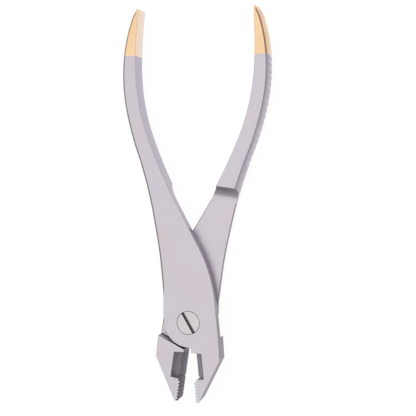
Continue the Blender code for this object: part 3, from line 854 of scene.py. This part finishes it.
class PLIERS_OT_forged_half(bpy.types.Operator):
    """Build one forged half: a handle with the opposite jaw"""

    bl_idname = "pliers.forged_half"
    bl_label = "Forged Half"
    half: side_property()

    def execute(self, context):
        plan = JawPlan(context.scene)
        jaw, joint, handle = plan.jaw, plan.joint, context.scene.pliers_handle
        side = SIDES[self.half]
        rows = half_rows(plan, handle)
        end_y = max(point.y for point, _, _, _ in rows)
        up = Vector((math.sin(handle.plate_tilt) * side, math.cos(handle.plate_tilt), 0.0))
        end_x, line_y = handle_inner(handle, jaw)[-1]
        plate_line = Vector((end_x * side, line_y, 0.0)) - up * handle.plated_length

        bm = bmesh.new()
        bridge(bm, self.rings(rows, handle))
        if side < 0:
            turn_over(bm)
        geom = bm.verts[:] + bm.edges[:] + bm.faces[:]
        bmesh.ops.bisect_plane(bm, geom=geom, dist=TINY, plane_co=plate_line, plane_no=up)
        half = object_from(bm, self.half + "_forging")
        cut_away(half, [bore_cutter(joint, side), lap_cutter(plan, side),
                        *end_cutters(end_y, handle), seat_cutter(plan, side),
                        notch_cutter(plan, side)])

        bore = joint.head_diameter / 2 + joint.run_clear
        lap_z = (THICKNESS + joint.lap_gap * side) / 2
        end_start = end_y - handle.end_round * 1.5

        def spare(edge):
            """Edges at the seat, down in the bore, at the very end or broken already."""
            ends = [vert.co for vert in edge.verts]
            at_seat = all(abs(abs(co.x) - plan.seat) < WELD for co in ends)
            at_seat = at_seat and all(co.y < plan.notch_top for co in ends)
            in_bore = all(co.xy.length < bore + WELD and co.z < THICKNESS - WELD for co in ends)
            at_end = any(co.y > end_start for co in ends)
            broken = any(face.material_index == LAP_MARK for face in edge.link_faces)
            return at_seat or in_bore or at_end or broken

        def off_lap(edge):
            """All edges but those round the lap face, beside the shoulder and hollow."""
            ends = [vert.co for vert in edge.verts]
            on_lap = all(abs(co.z - lap_z) < WELD for co in ends)
            inside = all(co.xy.length < bore + WELD for co in ends)
            return not on_lap or inside

        break_edges(half, joint.lap_break, LAP_CORNER, off_lap, material=LAP_MARK)
        break_edges(half, joint.edge_break, FORGED_CORNER, spare, material=EDGE_MARK)
        heel_top = plan.heel_y + jaw.heel_height
        # Depth beside each face that takes the painted crease shade
        crease = joint.edge_break * 4

        def zone(face):
            place, normal = face.center, face.normal
            plated = (place - plate_line).dot(up) > 0
            inner = normal.x * side
            # Broken edges: smoother from wear, and painted darker as painted shade
            if face.material_index == EDGE_MARK:
                return "worn_gold_edge" if plated else "worn_steel_edge"
            # Edges round the lap face: painted contact shadow
            if face.material_index == LAP_MARK:
                return "lap_edge_steel"
            # Very end of the plate: painted highlight
            if plated and place.y > end_y - handle.end_round_front:
                return "gold_glint"
            if abs(normal.z) > FLAT:
                return "gold_plate" if plated else "satin_steel"
            hollow = abs(normal.x) < SQUARE and place.y > joint.lap_length
            shoulder = normal.y > LEANS and heel_top < place.y < 0
            if not plated and (hollow or shoulder):
                return "satin_steel"
            # Inner sides of the plate: painted reflection, paler and rosier towards the back
            if plated and inner > LEANS:
                return "pale_gold_plate"
            # Outer plated sides: painted shade, deepest on the front half, with a darker painted
            # crease beside each face on the rear half
            if plated and side > 0:
                return "dull_gold"
            if plated:
                depth = min(place.z, THICKNESS - place.z)
                return "gold_crease" if depth < crease else "gold_side"
            # Crowned outer sides: painted shade, deepest on the front half; they are a little
            # rougher too
            if inner < 0 and abs(normal.z) > LEANS and place.y > joint.radius:
                return "dull_steel" if side > 0 else "crown_steel"
            # Steel in the notch: painted shade of the recess, in the carbide's darker colour
            in_jaw = -jaw.side_length * 2 < place.y < heel_top
            if in_jaw and abs(place.x) < jaw.notch_depth + WELD and inner < LEANS:
                return "milled_steel"
            # Slanted jaw sides and the other plain sides: painted shade
            return "tip_side_steel" if normal.y < -LEANS and inner > LEANS else "side_steel"

        paint(half, zone)
        settle(half, self.half + "_half", self.half, OPEN_HALF * side)
        return {"FINISHED"}

    @staticmethod
    def rings(rows, handle):
        """Rings from the back to the front, drawn in where the side is crowned."""
        steps = [i / CROWN_STEPS for i in range(CROWN_STEPS + 1)]
        low = [(handle.crown_height * t, handle.crown_width * (1 - t) ** handle.crown_power)
               for t in steps]
        layers = low + [(THICKNESS - z, inset) for z, inset in reversed(low)]
        rings = []
        for z, inset in layers:
            moved = [point + inward * max(inset * crown, flute)
                     for point, inward, crown, flute in rows]
            rings.append([(p.x, p.y, z) for p in moved])
        return rings


class PLIERS_OT_cutter_insert(bpy.types.Operator):
    """Build one carbide cutting strip, with its land at the back and its bevel in front"""

    bl_idname = "pliers.cutter_insert"
    bl_label = "Cutter Insert"
    half: side_property()

    def execute(self, context):
        plan = JawPlan(context.scene)
        side = SIDES[self.half]
        clear, land = plan.jaw.centre_clear, plan.jaw.cutter_land
        back = plan.seat - WELD
        rise = (back - clear) / (plan.jaw.notch_depth - clear) * (THICKNESS - land)
        section = [(clear, 0.0), (back, 0.0), (back, land + rise), (clear, land)]
        rings = [[(x, plan.notch_foot_y(x) + WELD, z) for x, z in section],
                 [(x, plan.notch_top_y(x) - WELD, z) for x, z in section]]
        strip = skin(self.half + "_cutting_strip", rings, side)
        break_edges(strip, plan.joint.fine_break, CARBIDE_CORNER)

        def zone(face):
            # Bevel faces: the darker ground carbide, partly painted shade of the bevels that face
            # each other
            return "lapped_carbide" if face.normal.z < -CARBIDE_FLAT else "ground_carbide"

        paint(strip, zone)
        settle(strip, self.half + "_cutter_insert", self.half, OPEN_HALF * side)
        return {"FINISHED"}


class PLIERS_OT_grip_insert(bpy.types.Operator):
    """Build one carbide grip plate with straight teeth across the jaw"""

    bl_idname = "pliers.grip_insert"
    bl_label = "Grip Insert"
    half: side_property()

    def execute(self, context):
        plan = JawPlan(context.scene)
        jaw, side = plan.jaw, SIDES[self.half]
        clear = jaw.centre_clear
        back = plan.seat - WELD
        foot = plan.notch_foot_y(clear)
        count = max(2, math.floor((foot - plan.tip_y) / jaw.tooth_pitch))
        pitch = (foot - plan.tip_y) / count
        half_land = pitch * jaw.tooth_land / 2
        chamfer_x = clear + jaw.plate_chamfer
        rings = []
        for z, depth in ((0.0, jaw.tooth_depth_back), (THICKNESS, jaw.tooth_depth)):
            profile = [(clear + depth / 2, plan.tip_y)]
            for i in range(count):
                low = plan.tip_y + pitch * i
                profile += [(clear, low + half_land), (clear + depth, low + pitch / 2),
                            (clear, low + pitch - half_land)]
            profile[-1] = (chamfer_x, plan.notch_foot_y(chamfer_x))
            profile += [(back, plan.notch_foot_y(back)), (back, plan.outer_y(back)),
                        (plan.tip_x, plan.tip_y)]
            rings.append([(x, y, z) for x, y in profile])
        plate = skin(self.half + "_toothed_plate", rings, side)
        break_edges(plate, plan.joint.fine_break, CARBIDE_CORNER)

        def zone(face):
            # Tooth flanks facing the other jaw: painted shade
            toothed = face.normal.x * side < -LEANS and abs(face.normal.z) < CARBIDE_FLAT
            return "toothed_carbide" if toothed else "lapped_carbide"

        paint(plate, zone)
        settle(plate, self.half + "_grip_insert", self.half, OPEN_HALF * side)
        return {"FINISHED"}


class PLIERS_OT_pivot_screw(bpy.types.Operator):
    """Build the flush slotted shoulder screw"""

    bl_idname = "pliers.pivot_screw"
    bl_label = "Pivot Screw"

    def execute(self, context):
        joint = context.scene.pliers_joint
        head, shank = joint.head_diameter / 2, joint.shank_diameter / 2
        tail = joint.tail_diameter / 2
        under = THICKNESS - joint.head_thickness
        shoulder = THICKNESS / 2 - joint.lap_gap / 2 + joint.run_clear
        screw = turned("slotted_screw", [
            (0, THICKNESS), (head, THICKNESS), (head, under), (shank, under),
            (shank, shoulder), (tail, shoulder), (tail, 0), (0, 0)])
        half_slot = joint.slot_width / 2
        slot_floor = THICKNESS - joint.slot_depth
        corners = [(-head * 2, -half_slot), (head * 2, -half_slot), (head * 2, half_slot),
                   (-head * 2, half_slot)]
        rings = [[(x, y, z) for x, y in corners] for z in (slot_floor, THICKNESS + OVERCUT)]
        cut_away(screw, [skin("slot_cutter", rings)])
        break_edges(screw, joint.fine_break * 2, SCREW_CORNER)

        def zone(face):
            # Faces inside the driver slot take painted shade
            inside = slot_floor - WELD < face.center.z < THICKNESS - WELD
            inside = inside and abs(face.center.y) < half_slot + joint.fine_break
            return "slot_steel" if inside else "turned_steel"

        paint(screw, zone)
        settle(screw, "pivot_screw", "rear", joint.slot_turn)
        return {"FINISHED"}


class PLIERS_OT_stage(bpy.types.Operator):
    """Build the floor, the light and the camera"""

    bl_idname = "pliers.stage"
    bl_label = "Stage"

    def execute(self, context):
        studio = context.scene.pliers_studio
        self.add_floor()
        self.add_softbox(studio)
        self.add_room(context.scene, studio)
        self.add_camera(context.scene, studio)
        context.scene.view_settings.view_transform = "Standard"
        return {"FINISHED"}

    @staticmethod
    def add_floor():
        """Wide pale floor, seen white by the camera and in the metal, that keeps its shadow."""
        floor_radius, glow, glow_share = 12.0, 1.08, 0.85
        bm = bmesh.new()
        bmesh.ops.create_circle(bm, cap_ends=True, segments=64, radius=floor_radius)
        floor = object_from(bm, "floor")
        n = Nodes("pale_floor")
        matt = {"Metallic": 0.0, "Base Color": (0.9, 0.9, 0.9, 1.0), "Roughness": 0.9}
        for key, value in matt.items():
            n.shader.inputs[key].default_value = value
        rays = n.add("LightPath").outputs
        seen = rays["Is Camera Ray"]
        for ray in ("Is Glossy Ray", "Is Transmission Ray"):
            seen = n.add("Math", {0: seen, 1: rays[ray]}, operation="MAXIMUM").outputs[0]
        part = n.add("Math", {0: seen, 1: glow_share}, operation="MULTIPLY").outputs[0]
        white = n.add("Emission", {"Color": (1, 1, 1, 1), "Strength": glow}).outputs[0]
        mixed = n.add("MixShader", {0: part, 1: n.shader.outputs[0], 2: white}).outputs[0]
        n.tree.links.new(mixed, n.tree.nodes["Material Output"].inputs["Surface"])
        floor.data.materials.append(n.material)

    @staticmethod
    def add_softbox(studio):
        """Large softbox straight above, reflected by every front face."""
        size_x, size_y, height = 1.7, 1.9, 1.0
        light = bpy.data.lights.new("softbox", "AREA")
        light.shape = "RECTANGLE"
        light.size = size_x
        light.size_y = size_y
        light.energy = studio.softbox_level * math.pi * size_x * size_y
        new_object("softbox", light).location = (-0.10, 0.05, height)

    @staticmethod
    def add_room(scene, studio):
        """Dark room with a bright patch overhead that leans towards the jaws."""
        world = bpy.data.worlds.new("room")
        world.use_nodes = True
        tree = world.node_tree
        way = add_node(tree, "TexCoord").outputs["Generated"]
        bright = Vector(studio.bright_way).normalized()
        lean = add_node(tree, "VectorMath", {0: way, 1: bright}, operation="DOT_PRODUCT")
        patch = {"Value": lean.outputs["Value"], "From Min": -0.1, "From Max": 0.6,
                 "To Min": studio.horizon_level, "To Max": studio.room_level}
        level = add_node(tree, "MapRange", patch, interpolation_type="SMOOTHSTEP")
        room = tree.nodes["Background"]
        room.inputs["Color"].default_value = (1.0, 0.97, 1.0, 1.0)
        tree.links.new(level.outputs[0], room.inputs["Strength"])
        scene.world = world

    @staticmethod
    def add_camera(scene, studio):
        """Camera at the photograph's place, from its azimuth, elevation, roll and distance."""
        a, e, r = studio.azimuth, studio.elevation, studio.roll
        back = Vector((math.sin(a) * math.cos(e), math.sin(e), math.cos(a) * math.cos(e)))
        level = Vector((math.cos(a), 0.0, -math.sin(a)))
        lifted = back.cross(level)
        right = level * math.cos(r) + lifted * math.sin(r)
        up = lifted * math.cos(r) - level * math.sin(r)
        data = bpy.data.cameras.new("photo_camera")
        data.sensor_width = 36.0
        data.lens = studio.lens
        data.clip_start = 0.01
        data.clip_end = 50.0
        place = Matrix((right, up, back)).transposed().to_4x4()
        place.translation = Vector(studio.aim) + back * studio.distance
        scene.camera = new_object("photo_camera", data)
        scene.camera.matrix_world = place


class PLIERS_PT_panel(bpy.types.Panel):
    """Sizes, finishes and build buttons"""

    bl_idname = "PLIERS_PT_panel"
    bl_label = "Wire Pliers"
    bl_space_type = "VIEW_3D"
    bl_region_type = "UI"
    bl_category = "Pliers"

    def draw(self, context):
        layout = self.layout
        for half in SIDES:
            for name in ("forged_half", "cutter_insert", "grip_insert"):
                button = layout.operator("pliers." + name)
                button.half = half
        layout.operator("pliers.pivot_screw")
        layout.operator("pliers.stage")
        for name in GROUPS:
            group = getattr(context.scene, name)
            box = layout.box()
            box.label(text=group.bl_rna.name)
            for key in group.bl_rna.properties.keys():
                if key not in ("rna_type", "name"):
                    box.prop(group, key)


GROUPS = {
    "pliers_jaw": JawSizes,
    "pliers_handle": HandleSizes,
    "pliers_joint": JointSizes,
    "pliers_finishes": Finishes,
    "pliers_studio": Studio,
}
CLASSES = (
    *GROUPS.values(),
    PLIERS_OT_forged_half,
    PLIERS_OT_cutter_insert,
    PLIERS_OT_grip_insert,
    PLIERS_OT_pivot_screw,
    PLIERS_OT_stage,
    PLIERS_PT_panel,
)


def register():
    for cls in CLASSES:
        bpy.utils.register_class(cls)
    for name, group in GROUPS.items():
        setattr(bpy.types.Scene, name, PointerProperty(type=group))


def unregister():
    for name in GROUPS:
        delattr(bpy.types.Scene, name)
    for cls in reversed(CLASSES):
        bpy.utils.unregister_class(cls)


def main():
    register()
    bpy.ops.pliers.stage()
    for half in SIDES:
        bpy.ops.pliers.forged_half(half=half)
        bpy.ops.pliers.cutter_insert(half=half)
        bpy.ops.pliers.grip_insert(half=half)
    bpy.ops.pliers.pivot_screw()
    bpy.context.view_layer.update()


if __name__ == "__main__":
    main()
